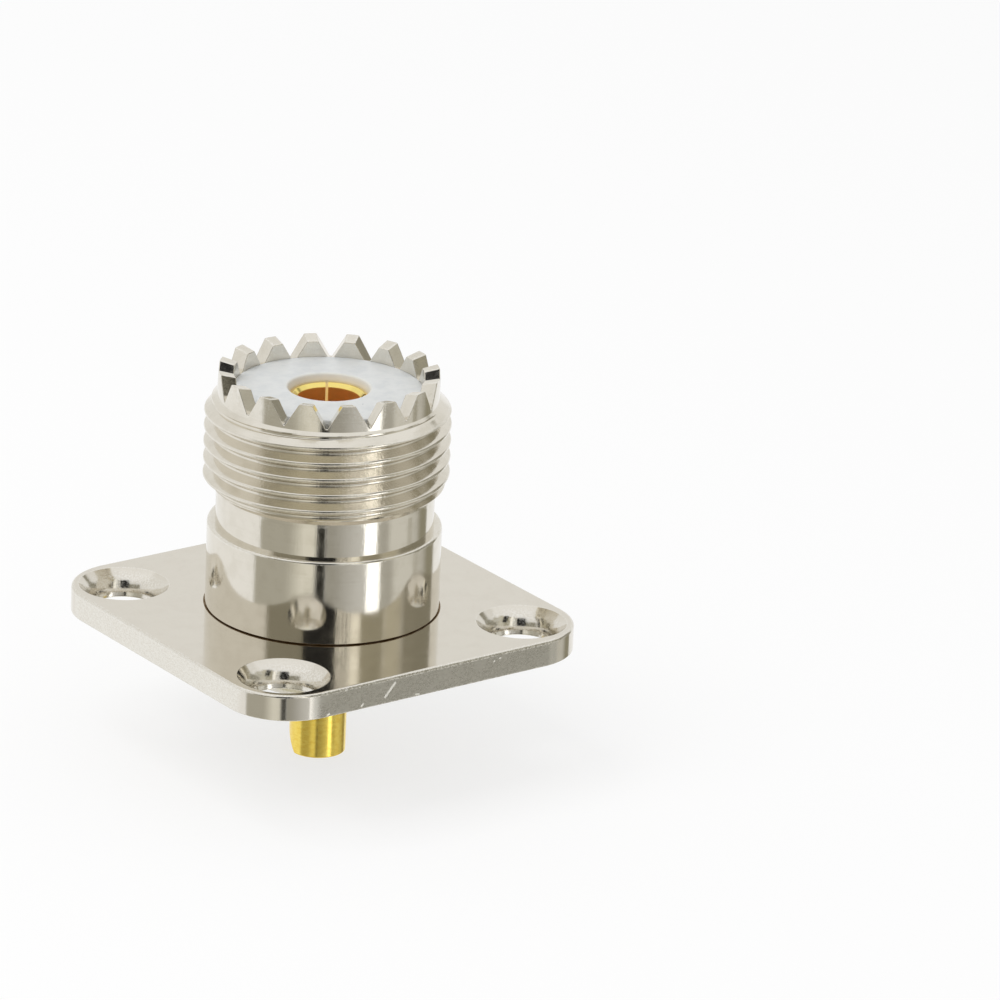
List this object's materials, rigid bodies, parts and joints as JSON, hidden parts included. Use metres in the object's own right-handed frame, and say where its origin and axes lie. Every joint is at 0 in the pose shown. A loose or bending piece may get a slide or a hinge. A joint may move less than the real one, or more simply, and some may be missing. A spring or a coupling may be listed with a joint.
{
  "type": "uhf panel jack",
  "caption": "Female coaxial panel jack with a square countersunk flange, outside thread, toothed rim, split socket and slant-cut solder cup.",
  "frame": {"origin": "centre of the flange's rear face, which meets the panel", "axes": "+Z along the connector's axis, towards the mating end; X and Y along the flange's sides"},
  "size_m": [0.0254, 0.0254, 0.0258],
  "materials": {
    "nickel": "bright nickel plate",
    "gold": "gold plate",
    "white_insulation": "waxy matt"
  },
  "bodies": {
    "root": {"mounting_flange": "nickel", "barrel": "nickel", "front_insulator": "white_insulation", "rear_insulator": "white_insulation", "centre_contact": "gold"}
  },
  "joints": []
}
